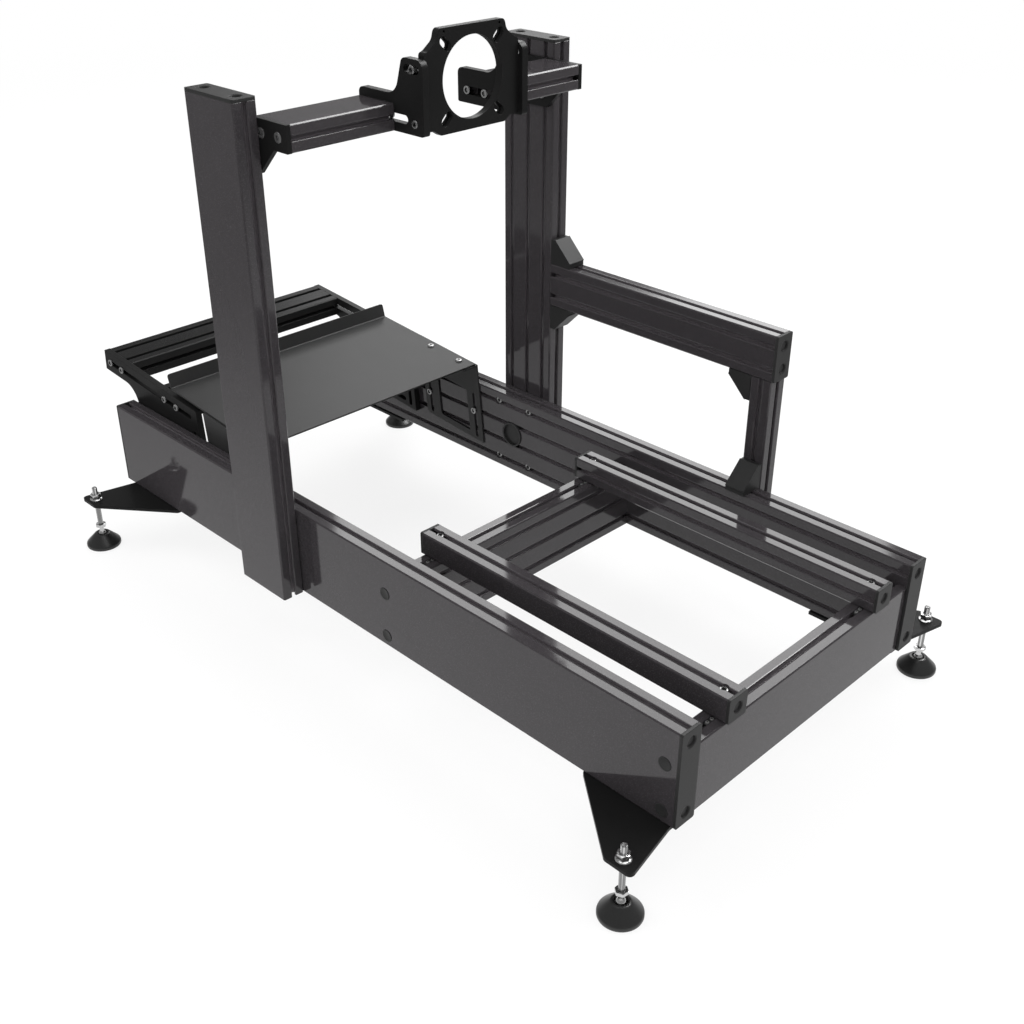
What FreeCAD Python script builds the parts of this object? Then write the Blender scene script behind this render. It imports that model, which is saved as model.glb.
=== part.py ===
import FreeCAD, Part
import math
import os

# All lengths are in millimetres. The model is built with x from the left beam's outer face
# to the driver's right, y from the beams' rear ends towards the pedals and z up from the
# beams' undersides. At the end it is moved so that the origin is the centre of its footprint.

# Aluminium profile with T-slots
module = 40.0
slot_mouth = 8.2
slot_lip = 4.5
slot_inner = 20.0
slot_shoulder = 7.5
slot_depth = 12.25
slot_floor = 10.4
mouth_slope_width = 1.1
mouth_slope_drop = 0.45
profile_bevel = 2.0
closed_wall = 3.0
chamber_width = 13.0
chamber_wall = 4.5

# Base frame
outer_width = 604.0
beam_length = 1371.0
beam_module_count = 4
cross_module_count = 3
middle_cross_front = 602.0
rail_spacing = 366.0

# Uprights
upright_module_count = 3
upright_rear = 804.0
upright_length = 820.0

# Steering arms and their mounting plates
arm_module_count = 2
arm_overhang = 64.0
arm_top_drop = 25.0
arm_plate_thick = 8.0
arm_plate_reach = 80.0
arm_plate_tail = 40.5
arm_plate_corner = 4.0
arm_screw_hole = 8.4

# Wheel mount
wheel_plate_width = 190.0
wheel_plate_height = 150.0
wheel_plate_thick = 12.0
wheel_plate_overhang = 56.0
wheel_centre_rise = 70.0
wheel_hole = 120.0
wheel_top_half = 66.0
wheel_shoulder_drop = 31.0
wheel_shoulder_inset = 8.0
wheel_bottom_half = 65.0
wheel_step_half = 79.0
wheel_step_rise = 8.5
wheel_slot_pitch = 106.0
wheel_slot_width = 14.0
wheel_slot_length = 24.5
wheel_pin_hole = 4.2
wheel_pin_half = 55.5
wheel_pin_drop = 5.2
side_plate_thick = 12.0
side_plate_overhang = 65.0
side_plate_length = 145.0
side_foot_height = 53.5
side_plate_height = 107.5
side_tower_root = 60.0
side_tower_top = 42.5
side_cove_radius = 24.0
side_top_radius = 13.0
side_corner_radius = 9.0
arm_slot_width = 9.0
arm_slot_rear = 36.5
arm_slot_front = 130.0
tilt_hole = 8.4
tilt_hole_height = 17.0
tilt_slot_radius = 75.5
tilt_slot_half_angle = 9.0

# Shifter arm and post
shifter_top = 435.0
shifter_module_count = 2
shifter_rear = 309.0
bracket_leg = 45.0
bracket_lip = 8.0
bracket_width = 38.0
bracket_wall = 3.0
bracket_base = 4.5
cover_thick = 2.0

# Pedal deck, drawn in its own plane that rises towards the front
deck_tilt = 5.0
deck_rear_y = 1153.5
deck_rear_z = 208.6
deck_length = 315.0
deck_nose = 40.0
deck_plate_height = 164.0
deck_plate_thick = 12.0
deck_foot_front = 201.0
deck_cove_radius = 42.0
deck_foot_radius = 6.0
deck_lean = 10.0
deck_slot_width = 9.0
deck_slot_rear = 16.0
deck_slot_front = 300.0
deck_lower_slot = 149.3
deck_lower_slot_rear = 4.5
deck_lower_slot_front = 168.0
deck_side_slot_inset = 15.5
deck_side_slot_top = 44.0
deck_side_slot_bottom = 157.0
deck_rear_profile = 45.0

# Heel plate and its brackets, in the same tilted plane
heel_side_gap = 4.5
heel_rear = 191.3
heel_front = 84.0
heel_above_deck = 10.5
sheet_thick = 3.0
upstand_height = 25.0
upstand_lean = 20.0
upstand_corner = 5.0
bracket_heel_length = 169.0
bracket_heel_depth = 156.0
bracket_heel_lean = 11.0
bracket_heel_flange = 40.0
bracket_heel_corner = 10.0
heel_slot_width = 8.4
heel_slot_inset = 17.0
heel_slot_top = 56.0
heel_slot_bottom = 149.0
heel_window_top = 57.0
heel_window_bottom = 143.0
heel_window_rear = 38.0
heel_window_front = 125.0
heel_window_corner = 8.0
heel_screw_rear = 30.0
heel_screw_front = 112.5

# Levelling feet
floor_drop = 100.0
foot_reach_left = 87.0
foot_reach_right = 73.0
foot_rear_y = 10.0
foot_front_y = 1347.3
foot_plate_thick = 6.0
foot_plate_outer = 16.0
foot_plate_inner = 116.0
foot_plate_tip_out = 27.0
foot_plate_tip_in = 20.0
foot_plate_root_out = 6.0
foot_plate_root_in = 150.0
foot_plate_corner = 8.0
foot_plate_hollow = 20.0
stud_d = 10.0
stud_top = 25.5
pad_d = 65.0
pad_height = 26.0
pad_rim = 6.0
pad_hub = 28.0
pad_socket_depth = 6.0

# Plastic end caps and cable-hole caps
cap_thick = 5.0
cap_hole = 19.5
cap_hole_depth = 3.5
cover_d = 50.0
cover_dish = 43.0
cover_rise = 2.0
cover_floor = 2.0
cover_z = 80.0

# Recessed cap screws in the slots and the screws of the sheets
screw_pocket = 14.0
screw_hole = 8.4

X = FreeCAD.Vector(1, 0, 0)
Y = FreeCAD.Vector(0, 1, 0)
Z = FreeCAD.Vector(0, 0, 1)

# Sizes that follow from the ones above
beam_height = module * beam_module_count
cross_height = module * cross_module_count
inner_left = module
inner_right = outer_width - module
mid_x = outer_width / 2
rail_length = middle_cross_front
rail_left = mid_x - rail_spacing / 2 - module / 2
rail_right = mid_x + rail_spacing / 2 - module / 2
upright_width = module * upright_module_count
upright_mid = upright_rear + upright_width / 2
arm_rear = upright_rear - arm_overhang
arm_top = upright_length - arm_top_drop
arm_bottom = arm_top - module
arm_plate_front = upright_rear + arm_plate_reach
wheel_plate_rear = arm_rear - wheel_plate_overhang
wheel_plate_centre = arm_bottom + wheel_centre_rise
side_plate_rear = arm_rear - side_plate_overhang
side_left = mid_x - wheel_plate_width / 2 - side_plate_thick
side_right = mid_x + wheel_plate_width / 2
arm_length = side_left - arm_plate_thick
wheel_bolt_y = wheel_plate_rear + wheel_plate_thick / 2
shifter_bottom = shifter_top - module * shifter_module_count
tilt = math.radians(deck_tilt)
deck_u = FreeCAD.Vector(0, math.cos(tilt), math.sin(tilt))
deck_w = FreeCAD.Vector(0, -math.sin(tilt), math.cos(tilt))
deck_origin = FreeCAD.Vector(0, deck_rear_y, deck_rear_z)
deck_span = inner_right - inner_left - 2 * deck_plate_thick
heel_under = heel_above_deck - sheet_thick
heel_width = inner_right - inner_left - 2 * heel_side_gap
foot_spots = (
    ("rear_left", -foot_reach_left, foot_rear_y, -1, -1),
    ("rear_right", outer_width + foot_reach_right, foot_rear_y, 1, -1),
    ("front_left", -foot_reach_left, foot_front_y, -1, 1),
    ("front_right", outer_width + foot_reach_right, foot_front_y, 1, 1),
)


def vec(a, b, c=0.0):
    return FreeCAD.Vector(a, b, c)


def placed(shape, origin, a_dir, b_dir):
    """Turns a shape drawn in the (a, b) plane to lie along two directions of the model."""
    c_dir = a_dir.cross(b_dir)
    m = FreeCAD.Matrix(
        a_dir.x, b_dir.x, c_dir.x, origin.x,
        a_dir.y, b_dir.y, c_dir.y, origin.y,
        a_dir.z, b_dir.z, c_dir.z, origin.z,
        0, 0, 0, 1,
    )
    out = shape.copy()
    out.Placement = FreeCAD.Placement(m)
    return out


def polygon_face(points):
    return Part.Face(Part.makePolygon([vec(*p) for p in points] + [vec(*points[0])]))


def outline_face(corners):
    """A face from corners (a, b, radius); a radius of 0 keeps the corner sharp."""
    edges = []
    count = len(corners)
    ends = []
    for i in range(count):
        a, b, radius = corners[i]
        here = vec(a, b)
        before = vec(*corners[i - 1][:2])
        after = vec(*corners[(i + 1) % count][:2])
        if radius <= 0:
            ends.append((here, here, None))
            continue
        to_before = (before - here).normalize()
        to_after = (after - here).normalize()
        half = to_before.getAngle(to_after) / 2
        reach = radius / math.tan(half)
        bisector = (to_before + to_after).normalize()
        centre = here + bisector * (radius / math.sin(half))
        middle = centre - bisector * radius
        ends.append((here + to_before * reach, here + to_after * reach, middle))
    for i in range(count):
        start, stop, middle = ends[i]
        if middle is not None:
            edges.append(Part.Arc(start, middle, stop).toShape())
        following = ends[(i + 1) % count][0]
        if (following - stop).Length > 1e-6:
            edges.append(Part.LineSegment(stop, following).toShape())
    return Part.Face(Part.Wire(edges))


def disc(a, b, diameter):
    return Part.Face(Part.Wire(Part.Circle(vec(a, b), vec(0, 0, 1), diameter / 2).toShape()))


def stadium(a0, b0, a1, b1, width):
    """A slot with round ends whose outermost points are (a0, b0) and (a1, b1)."""
    start = vec(a0, b0)
    along = (vec(a1, b1) - start).normalize()
    side = vec(-along.y, along.x) * (width / 2)
    first = start + along * (width / 2)
    last = vec(a1, b1) - along * (width / 2)
    return Part.Face(Part.Wire([
        Part.LineSegment(first - side, last - side).toShape(),
        Part.Arc(last - side, vec(a1, b1), last + side).toShape(),
        Part.LineSegment(last + side, first + side).toShape(),
        Part.Arc(first + side, start, first - side).toShape(),
    ]))


def prism(face, height):
    return face.extrude(vec(0, 0, height))


def cylinder(centre, direction, diameter, length):
    return Part.makeCylinder(diameter / 2, length, centre, direction)


def groove(u, depth_dir, along, closed):
    """One T-slot, or the closed chamber that takes its place, centred at u on a face."""
    half_mouth = slot_mouth / 2
    half_inner = slot_inner / 2
    half_floor = slot_floor / 2
    if closed:
        rim = [(half_inner, closed_wall)]
    else:
        rim = [
            (half_mouth + mouth_slope_width, -0.5),
            (half_mouth + mouth_slope_width, 0.0),
            (half_mouth, mouth_slope_drop),
            (half_mouth, slot_lip),
            (half_inner, slot_lip),
        ]
    side = rim + [(half_inner, slot_shoulder), (half_floor, slot_depth)]
    ring = side + [(-s, d) for s, d in reversed(side)]
    return polygon_face([
        (u[0] + along[0] * s + depth_dir[0] * d, u[1] + along[1] * s + depth_dir[1] * d)
        for s, d in ring
    ])


def profile_outline(modules):
    """Bevelled rectangle: modules wide along a, one module thick along b."""
    width = modules * module
    c = profile_bevel
    return polygon_face([
        (c, 0),
        (width - c, 0),
        (width, c),
        (width, module - c),
        (width - c, module),
        (c, module),
        (0, module - c),
        (0, c),
    ])


def section(modules, open_faces):
    """Cross-section of a profile with its T-slots and closed chambers."""
    width = modules * module
    face = profile_outline(modules)
    tools = []
    half = module / 2
    for i in range(modules):
        centre = (i + 0.5) * module
        tools.append(groove((centre, 0), (0, 1), (1, 0), "b-" not in open_faces))
        tools.append(groove((centre, module), (0, -1), (1, 0), "b+" not in open_faces))
    tools.append(groove((0, half), (1, 0), (0, 1), "a-" not in open_faces))
    tools.append(groove((width, half), (-1, 0), (0, 1), "a+" not in open_faces))
    for i in range(1, modules):
        low = i * module - chamber_width / 2
        high = i * module + chamber_width / 2
        tools.append(polygon_face([
            (low, chamber_wall),
            (high, chamber_wall),
            (high, module - chamber_wall),
            (low, module - chamber_wall),
        ]))
    return face.cut(tools).Faces[0]


def bar(modules, length, open_faces, origin, a_dir, b_dir):
    """A length of profile."""
    return placed(prism(section(modules, open_faces), length), origin, a_dir, b_dir)


def slot_pocket(face_point, inward):
    """Pocket through a slot's lips that lets a cap screw's head down into the slot."""
    return cylinder(face_point, inward, screw_pocket, slot_lip)


def side_beam(x, outward):
    """A side beam whose closed face looks along outward, with its holes."""
    open_faces = ("a-", "a+", "b+") if outward < 0 else ("a-", "a+", "b-")
    beam = bar(beam_module_count, beam_length, open_faces, vec(x, 0, 0), Z, X)
    inner = x + module if outward < 0 else x
    tools = []
    for y in upright_screw_rows():
        for z in (module / 2, beam_height - module / 2):
            tools.append(slot_pocket(vec(inner, y, z), X * outward))
    tools.append(cylinder(vec(inner, upright_mid, cover_z), X * outward, cover_d, slot_lip))
    return beam.cut(tools)


def upright_screw_rows():
    return (upright_rear + module / 2, upright_rear + upright_width - module / 2)


def cross_beam(front):
    open_faces = ("a-", "a+", "b+") if front < 2 * module else ("a-", "a+", "b-")
    length = inner_right - inner_left
    return bar(cross_module_count, length, open_faces, vec(inner_right, front - module, 0), Z, Y)


def upright(x_high, inner_face):
    open_faces = ("a-", "a+", inner_face)
    return bar(upright_module_count, upright_length, open_faces,
               vec(x_high, upright_rear, 0), Y, X * -1)


def seat_rail(x, inner_face):
    open_faces = ("a-", "a+", inner_face)
    rail = bar(1, rail_length, open_faces, vec(x, 0, cross_height), Z, X)
    top = cross_height + module
    tools = [
        slot_pocket(vec(x + module / 2, y, top), Z * -1)
        for y in (module / 2, middle_cross_front - module / 2)
    ]
    return rail.cut(tools)


def wheel_arm(x):
    return bar(arm_module_count, arm_length, ("a-", "a+", "b-"), vec(x, arm_rear, arm_bottom), Y, Z)


def arm_plate(x, outward):
    """Plate that carries an arm on its upright, with a tail for the lower bolts."""
    low = arm_bottom - arm_plate_tail
    slope_start = arm_rear + 0.8 * module
    face = outline_face([
        (arm_rear, arm_top, 0),
        (arm_rear, arm_bottom, 0),
        (slope_start, arm_bottom, 0),
        (slope_start + arm_plate_tail, low, arm_plate_corner),
        (arm_plate_front, low, arm_plate_corner),
        (arm_plate_front, arm_top, arm_plate_corner),
    ])
    plate = placed(prism(face, arm_plate_thick), vec(x, 0, 0), Y, Z)
    seat = x if outward < 0 else x + arm_plate_thick
    tools = []
    for i in range(arm_module_count):
        y = arm_rear + (i + 0.5) * module
        z = arm_bottom + module / 2
        inward = X * -outward
        tools.append(cylinder(vec(seat, y, z), inward, arm_screw_hole, arm_plate_thick))
    return plate.cut(tools)


def wheel_side_plate(x):
    """Side cheek: a foot along the arm's end and a rounded tower behind it."""
    y0 = side_plate_rear
    z0 = arm_bottom
    body = outline_face([
        (y0, z0, 0),
        (y0 + side_plate_length, z0, 0),
        (y0 + side_plate_length, z0 + side_foot_height, side_corner_radius),
        (y0 + side_tower_root, z0 + side_foot_height, side_cove_radius),
        (y0 + side_tower_top, z0 + side_plate_height, side_corner_radius),
        (y0, z0 + side_plate_height, side_top_radius),
    ])
    arm_slot = stadium(y0 + arm_slot_rear, z0 + module / 2,
                       y0 + arm_slot_front, z0 + module / 2, arm_slot_width)
    pivot = vec(wheel_bolt_y, z0 + tilt_hole_height)
    face = body.cut([arm_slot, disc(pivot.x, pivot.y, tilt_hole), tilt_slot(pivot)])
    return placed(prism(face.Faces[0], side_plate_thick), vec(x, 0, 0), Y, Z)


def tilt_slot(pivot):
    """Curved slot around the lower bolt, in which the upper bolt swings."""
    swing = math.radians(tilt_slot_half_angle)

    def spot(radius, angle):
        return pivot + vec(math.sin(angle), math.cos(angle)) * radius

    inner = tilt_slot_radius - arm_slot_width / 2
    outer = tilt_slot_radius + arm_slot_width / 2
    tip = math.asin(arm_slot_width / 2 / tilt_slot_radius)
    return Part.Face(Part.Wire([
        Part.Arc(spot(outer, -swing), spot(outer, 0), spot(outer, swing)).toShape(),
        Part.Arc(spot(outer, swing), spot(tilt_slot_radius, swing + tip), spot(inner, swing)).toShape(),
        Part.Arc(spot(inner, swing), spot(inner, 0), spot(inner, -swing)).toShape(),
        Part.Arc(spot(inner, -swing), spot(tilt_slot_radius, -swing - tip), spot(outer, -swing)).toShape(),
    ]))


def wheel_front_plate():
    """Plate with the round opening, shouldered sides and four radial slots."""
    top = wheel_plate_height / 2
    bottom = -top
    half = wheel_plate_width / 2
    shoulder = top - wheel_shoulder_drop
    step = bottom + wheel_step_rise
    right = [
        (wheel_bottom_half, bottom, 0),
        (wheel_step_half, step, 0),
        (half, step, 0),
        (half, shoulder, 5),
        (half - wheel_shoulder_inset, shoulder + 2.5, 14),
        (wheel_top_half + 4, top - 16, 16),
        (wheel_top_half, top, 8),
    ]
    left = [(-a, b, r) for a, b, r in reversed(right)]
    body = outline_face(right + left)
    tools = [disc(0, 0, wheel_hole)]
    pitch = wheel_slot_pitch / 2
    reach = wheel_slot_length / 2 / math.sqrt(2)
    for sa in (-1, 1):
        for sb in (-1, 1):
            tools.append(stadium(sa * (pitch - reach), sb * (pitch - reach),
                                 sa * (pitch + reach), sb * (pitch + reach), wheel_slot_width))
        tools.append(disc(sa * wheel_pin_half, top - wheel_pin_drop, wheel_pin_hole))
    face = body.cut(tools).Faces[0]
    front = wheel_plate_rear + wheel_plate_thick
    return placed(prism(face, wheel_plate_thick), vec(mid_x, front, wheel_plate_centre), X, Z)


def shifter_arm():
    length = upright_rear - shifter_rear
    return bar(shifter_module_count, length, ("a-", "a+", "b-"),
               vec(outer_width, shifter_rear, shifter_bottom), Z, X)


def shifter_post():
    return bar(1, shifter_bottom, ("a-", "a+", "b+"),
               vec(outer_width + module, shifter_rear, 0), Y, X * -1)


def corner_bracket():
    """Cast corner bracket in its own plane: legs along a and b, open along the slope."""
    leg = bracket_leg
    lip = bracket_lip
    wall = bracket_wall
    base = bracket_base
    outline = polygon_face([(0, 0), (leg, 0), (leg, lip), (lip, leg), (0, leg)])
    inside = polygon_face([
        (base, base),
        (leg - wall, base),
        (leg - wall, lip + wall),
        (lip + wall, leg - wall),
        (base, leg - wall),
    ])
    body = prism(outline, bracket_width)
    body = body.cut(placed(prism(inside, bracket_width - 2 * wall), vec(0, 0, wall), X, Y))
    window = polygon_face([
        (leg - wall, lip + wall),
        (leg, leg),
        (lip + wall, leg - wall),
        (base, base),
    ])
    return body.cut(placed(prism(window, bracket_width - 2 * wall), vec(0, 0, wall), X, Y))


def corner_cover():
    """Flat plastic cover that closes the bracket's sloping side."""
    leg = bracket_leg
    lip = bracket_lip
    off = cover_thick / math.sqrt(2)
    face = polygon_face([(leg, lip), (leg + off, lip + off), (lip + off, leg + off), (lip, leg)])
    return prism(face, bracket_width)


def bracket_places():
    """Corner, first leg and second leg directions of the four corner brackets."""
    inset = (module - bracket_width) / 2
    arm_x = outer_width + inset
    post_front = shifter_rear + module
    back = Y * -1
    return [
        (vec(arm_x + bracket_width, upright_rear, shifter_top), back, Z),
        (vec(arm_x, upright_rear, shifter_bottom), back, Z * -1),
        (vec(arm_x + bracket_width, post_front, shifter_bottom), Y, Z * -1),
        (vec(outer_width, shifter_rear + inset, beam_height), X * -1, Z),
    ]


def deck_point(x, u, w):
    return vec(x, 0, 0) + deck_origin + deck_u * u + deck_w * w


def deck_plate(x):
    """Deck side plate: nose with a cove below it and a leaning rear edge."""
    slant = math.tan(math.radians(deck_lean))
    bottom = -deck_plate_height
    front = deck_foot_front
    cove = deck_cove_radius
    body = outline_face([
        (0, 0, 0),
        (bottom * slant, bottom, 0),
        (front, bottom, deck_foot_radius),
        (front, -deck_nose, cove),
        (deck_length, -deck_nose, 0),
        (deck_length, 0, 0),
    ])
    line = -module / 2

    def leaning(w):
        return w * slant + deck_side_slot_inset

    tools = [
        stadium(deck_slot_rear, line, deck_slot_front, line, deck_slot_width),
        stadium(deck_lower_slot_rear, -deck_lower_slot, deck_lower_slot_front, -deck_lower_slot,
                deck_slot_width),
        stadium(leaning(-deck_side_slot_top), -deck_side_slot_top,
                leaning(-deck_side_slot_bottom), -deck_side_slot_bottom, deck_slot_width),
        stadium(front - deck_side_slot_inset, -deck_nose - cove,
                front - deck_side_slot_inset, -deck_lower_slot, deck_slot_width),
    ]
    face = body.cut(tools).Faces[0]
    return placed(prism(face, deck_plate_thick), deck_point(x, 0, 0), deck_u, deck_w)


def deck_profile(u):
    return bar(2, deck_span, ("a-", "a+", "b-", "b+"),
               deck_point(inner_left + deck_plate_thick, u, -module), deck_u, deck_w)


def heel_plate():
    """Bent sheet: flat foot rest with a leaning upstand along its front edge."""
    lean = math.radians(upstand_lean)
    t = sheet_thick
    rise = upstand_height / math.cos(lean)
    along = vec(math.sin(lean), math.cos(lean))
    normal = vec(math.cos(lean), -math.sin(lean))
    top_face = heel_above_deck
    knee = vec(heel_front, top_face)
    tip = knee + along * rise
    heel = outline_face([
        (-heel_rear, top_face, 0),
        (knee.x, knee.y, 3),
        (tip.x, tip.y, 0),
        (tip.x + normal.x * t, tip.y + normal.y * t, 0),
        (knee.x + t * math.tan(math.pi / 4 - lean / 2), top_face - t, 3 + t),
        (-heel_rear, top_face - t, 0),
    ])
    sheet = placed(prism(heel, heel_width), deck_point(mid_x - heel_width / 2, 0, 0), deck_u, deck_w)
    holes = []
    for x in heel_screw_lines():
        for along_u in heel_screw_rows():
            holes.append(cylinder(deck_point(x, along_u, heel_under - 1), deck_w,
                                  screw_hole, sheet_thick + 2))
    return round_upstand(sheet.cut(holes))


def round_upstand(sheet):
    """Rounds the two upper corners of the upstand."""
    picked = []
    for edge in sheet.Edges:
        if edge.Length > 1.5 * sheet_thick or len(edge.Vertexes) != 2:
            continue
        ends = [v.Point - deck_origin for v in edge.Vertexes]
        ws = [p.dot(deck_w) for p in ends]
        if abs(ends[0].x - ends[1].x) > 1e-6:
            continue
        if min(ws) > heel_above_deck + upstand_height / 2:
            picked.append(edge)
    return sheet.makeFillet(upstand_corner, picked)


def heel_screw_lines():
    inset = bracket_heel_flange / 2 + sheet_thick / 2
    return (inner_left + inset, inner_right - inset)


def heel_screw_rows():
    return (heel_screw_rear - heel_rear, heel_screw_front - heel_rear)


def heel_bracket(x, side):
    """Bent sheet bracket: slotted hanging flange with a window and a top flange."""
    slant = math.tan(math.radians(bracket_heel_lean))
    rear = -heel_rear - 2.0
    top = heel_under
    low = -bracket_heel_depth

    def at(inset, w):
        return rear + inset + (w - top) * slant

    length = bracket_heel_length
    body = outline_face([
        (at(0, top), top, 0),
        (at(0, low), low, 0),
        (at(length, low), low, bracket_heel_corner),
        (at(length, top), top, 0),
    ])
    window = outline_face([
        (at(heel_window_rear, -heel_window_top), -heel_window_top, 0),
        (at(heel_window_rear, -heel_window_bottom), -heel_window_bottom, 0),
        (at(heel_window_front, -heel_window_bottom), -heel_window_bottom, heel_window_corner),
        (at(heel_window_front, -heel_window_top), -heel_window_top, 0),
    ])
    tools = [window]
    for inset in (heel_slot_inset, length - heel_slot_inset):
        tools.append(stadium(at(inset, -heel_slot_top), -heel_slot_top,
                             at(inset, -heel_slot_bottom), -heel_slot_bottom, heel_slot_width))
    hanging = placed(prism(body.cut(tools).Faces[0], sheet_thick),
                     deck_point(x, 0, 0), deck_u, deck_w)
    shelf_x = x if side < 0 else x + sheet_thick - bracket_heel_flange
    shelf = polygon_face([
        (at(0, top), top),
        (at(0, top - sheet_thick), top - sheet_thick),
        (at(length, top - sheet_thick), top - sheet_thick),
        (at(length, top), top),
    ])
    flange = placed(prism(shelf, bracket_heel_flange), deck_point(shelf_x, 0, 0), deck_u, deck_w)
    return hanging.fuse(flange).removeSplitter()


def foot_plate(x, y, out_x, out_y):
    """Tapered plate under a beam, drawn around the stud's axis."""
    corners = [
        (foot_plate_outer, foot_plate_tip_out, foot_plate_corner),
        (foot_plate_outer, -foot_plate_tip_in, foot_plate_corner),
        (-reach_of(out_x), -foot_plate_root_in, foot_plate_corner),
        (-foot_plate_inner, -foot_plate_root_in, 0),
        (-foot_plate_inner, foot_plate_root_out, 0),
        (-reach_of(out_x), foot_plate_root_out, foot_plate_hollow),
    ]
    face = outline_face([(x + out_x * a, y + out_y * b, r) for a, b, r in corners])
    plate = placed(prism(face, foot_plate_thick), vec(0, 0, -foot_plate_thick), X, Y)
    return plate.cut(cylinder(vec(x, y, -foot_plate_thick), Z, stud_d, foot_plate_thick))


def reach_of(out_x):
    return foot_reach_left if out_x < 0 else foot_reach_right


def pad_top():
    return pad_height - floor_drop


def foot_stud(x, y):
    low = pad_top() - pad_socket_depth
    return cylinder(vec(x, y, low), Z, stud_d, stud_top - low)


def foot_pad(x, y):
    """Round pad: straight rim, cone and a hub with the stud's socket."""
    rim = pad_d / 2
    socket = stud_d / 2
    floor = pad_height - pad_socket_depth
    outline = polygon_face([
        (0, 0),
        (rim, 0),
        (rim, pad_rim),
        (pad_hub / 2, pad_height),
        (socket, pad_height),
        (socket, floor),
        (0, floor),
    ])
    pad = placed(outline, vec(0, 0, 0), X, Z).revolve(vec(0, 0, 0), Z, 360)
    pad.translate(vec(x, y, -floor_drop))
    return pad


def end_cap(modules, origin, a_dir, b_dir):
    """End cap of a profile; its outer side looks along a x b."""
    width = modules * module
    cap = prism(profile_outline(modules), cap_thick)
    holes = []
    for centre in sorted({module / 2, width - module / 2}):
        holes.append(cylinder(vec(centre, module / 2, cap_thick - cap_hole_depth), Z,
                              cap_hole, cap_hole_depth))
    return placed(cap.cut(holes), origin, a_dir, b_dir)


def cable_hole_cap(x, inward):
    """Dished cap that closes the cable hole in a beam's inner face."""
    bottom = vec(x - inward * slot_lip, upright_mid, cover_z)
    body = cylinder(bottom, X * inward, cover_d, slot_lip + cover_rise)
    dish = cylinder(bottom + X * (inward * cover_floor), X * inward, cover_dish, module)
    return body.cut(dish)


def brackets_and_covers():
    bodies = []
    covers = []
    for corner, first, second in bracket_places():
        bodies.append(placed(corner_bracket(), corner, first, second))
        covers.append(placed(corner_cover(), corner, first, second))
    return bodies, covers


def build():
    """Every node of the cockpit with its solids."""
    bodies, covers = brackets_and_covers()
    nodes = {
        "side_beam_left": [side_beam(0, -1)],
        "side_beam_right": [side_beam(inner_right, 1)],
        "cross_beam_rear": [cross_beam(module)],
        "cross_beam_middle": [cross_beam(middle_cross_front)],
        "upright_left": [upright(0, "b-")],
        "upright_right": [upright(outer_width + module, "b+")],
        "seat_rail_left": [seat_rail(rail_left, "b+")],
        "seat_rail_right": [seat_rail(rail_right, "b-")],
        "wheel_arm_left": [wheel_arm(arm_plate_thick)],
        "wheel_arm_right": [wheel_arm(side_right + side_plate_thick)],
        "arm_plate_left": [arm_plate(0, -1)],
        "arm_plate_right": [arm_plate(outer_width - arm_plate_thick, 1)],
        "wheel_side_plate_left": [wheel_side_plate(side_left)],
        "wheel_side_plate_right": [wheel_side_plate(side_right)],
        "wheel_front_plate": [wheel_front_plate()],
        "shifter_arm": [shifter_arm()],
        "shifter_post": [shifter_post()],
        "corner_brackets": bodies,
        "corner_bracket_covers": covers,
        "deck_side_plate_left": [deck_plate(inner_left)],
        "deck_side_plate_right": [deck_plate(inner_right - deck_plate_thick)],
        "deck_profile_front": [deck_profile(deck_length - 2 * module)],
        "deck_profile_rear": [deck_profile(deck_rear_profile)],
        "heel_plate": [heel_plate()],
        "heel_bracket_left": [heel_bracket(inner_left, -1)],
        "heel_bracket_right": [heel_bracket(inner_right - sheet_thick, 1)],
        "foot_studs": [foot_stud(x, y) for _, x, y, _, _ in foot_spots],
        "foot_pads": [foot_pad(x, y) for _, x, y, _, _ in foot_spots],
        "beam_end_caps": [
            end_cap(beam_module_count, vec(0, 0, beam_height), Z * -1, X),
            end_cap(beam_module_count, vec(inner_right, 0, beam_height), Z * -1, X),
            end_cap(beam_module_count, vec(0, beam_length, 0), Z, X),
            end_cap(beam_module_count, vec(inner_right, beam_length, 0), Z, X),
        ],
        "upright_end_caps": [
            end_cap(upright_module_count, vec(0, upright_rear, upright_length), Y, X * -1),
            end_cap(upright_module_count, vec(outer_width + module, upright_rear, upright_length), Y, X * -1),
        ],
        "rail_end_caps": [
            end_cap(1, vec(rail_left, 0, cross_height + module), Z * -1, X),
            end_cap(1, vec(rail_right, 0, cross_height + module), Z * -1, X),
            end_cap(1, vec(rail_left, rail_length, cross_height), Z, X),
            end_cap(1, vec(rail_right, rail_length, cross_height), Z, X),
        ],
        "shifter_arm_cap": [
            end_cap(shifter_module_count, vec(outer_width, shifter_rear, shifter_top), Z * -1, X),
        ],
        "cable_hole_caps": [cable_hole_cap(inner_left, 1), cable_hole_cap(inner_right, -1)],
    }
    for name, x, y, out_x, out_y in foot_spots:
        nodes["foot_plate_" + name] = [foot_plate(x, y, out_x, out_y)]
    return nodes


def shift_to_origin():
    """Move that puts the centre of the footprint at the origin and the pads at z = 0."""
    x_low = -foot_reach_left - pad_d / 2
    x_high = outer_width + foot_reach_right + pad_d / 2
    y_low = foot_rear_y - pad_d / 2
    y_high = deck_point(0, deck_length, -deck_nose).y
    return vec(-(x_low + x_high) / 2, -(y_low + y_high) / 2, floor_drop)


def main():
    os.makedirs("parts", exist_ok=True)
    shift = shift_to_origin()
    for name, solids in build().items():
        shape = solids[0] if len(solids) == 1 else Part.makeCompound(solids)
        shape.translate(shift)
        shape.exportStep("parts/" + name + ".step")


main()
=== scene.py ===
import math

import bmesh
import bpy
from mathutils import Matrix, Vector


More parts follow.
